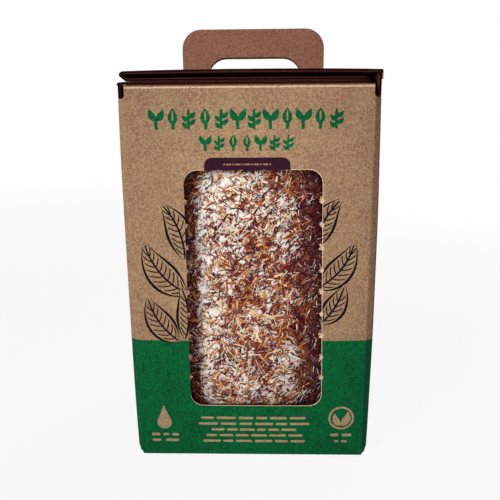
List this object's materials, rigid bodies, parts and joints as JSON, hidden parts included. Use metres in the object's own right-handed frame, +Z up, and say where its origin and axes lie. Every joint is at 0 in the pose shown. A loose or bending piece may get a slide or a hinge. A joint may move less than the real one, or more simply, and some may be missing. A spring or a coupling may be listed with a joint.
{
  "type": "mushroom grow kit",
  "caption": "Corrugated carton with a carrying handle, slotted cover flaps and a torn-out front window, holding a straw block grown through with mycelium in a clear film bag.",
  "frame": {"origin": "centre of the base, on the underside of the outermost bottom flap", "axes": "+Z up; the front wall, with the window, faces -Y; +X to the right as seen from the front"},
  "size_m": [0.184, 0.1343, 0.3017],
  "materials": {
    "kraft_board": "matte",
    "mycelium_straw": "matte",
    "clear_film": "gloss"
  },
  "bodies": {
    "carton": {"carton_walls": "kraft_board", "handle_flap_front": "kraft_board", "handle_flap_back": "kraft_board", "cover_flap_left": "kraft_board", "bottom_flap_front": "kraft_board", "bottom_flap_back": "kraft_board", "bottom_flap_left": "kraft_board", "bottom_flap_right": "kraft_board", "straw_block": "mycelium_straw", "grow_bag": "clear_film"},
    "cover": {"cover_flap_right": "kraft_board"}
  },
  "joints": [
    {"name": "cover_crease", "type": "hinge", "parent": "carton", "child": "cover", "pos_m": [0.084, 0, 0.27125], "axis": [0, 1, 0], "range_deg": [0, 165]}
  ]
}
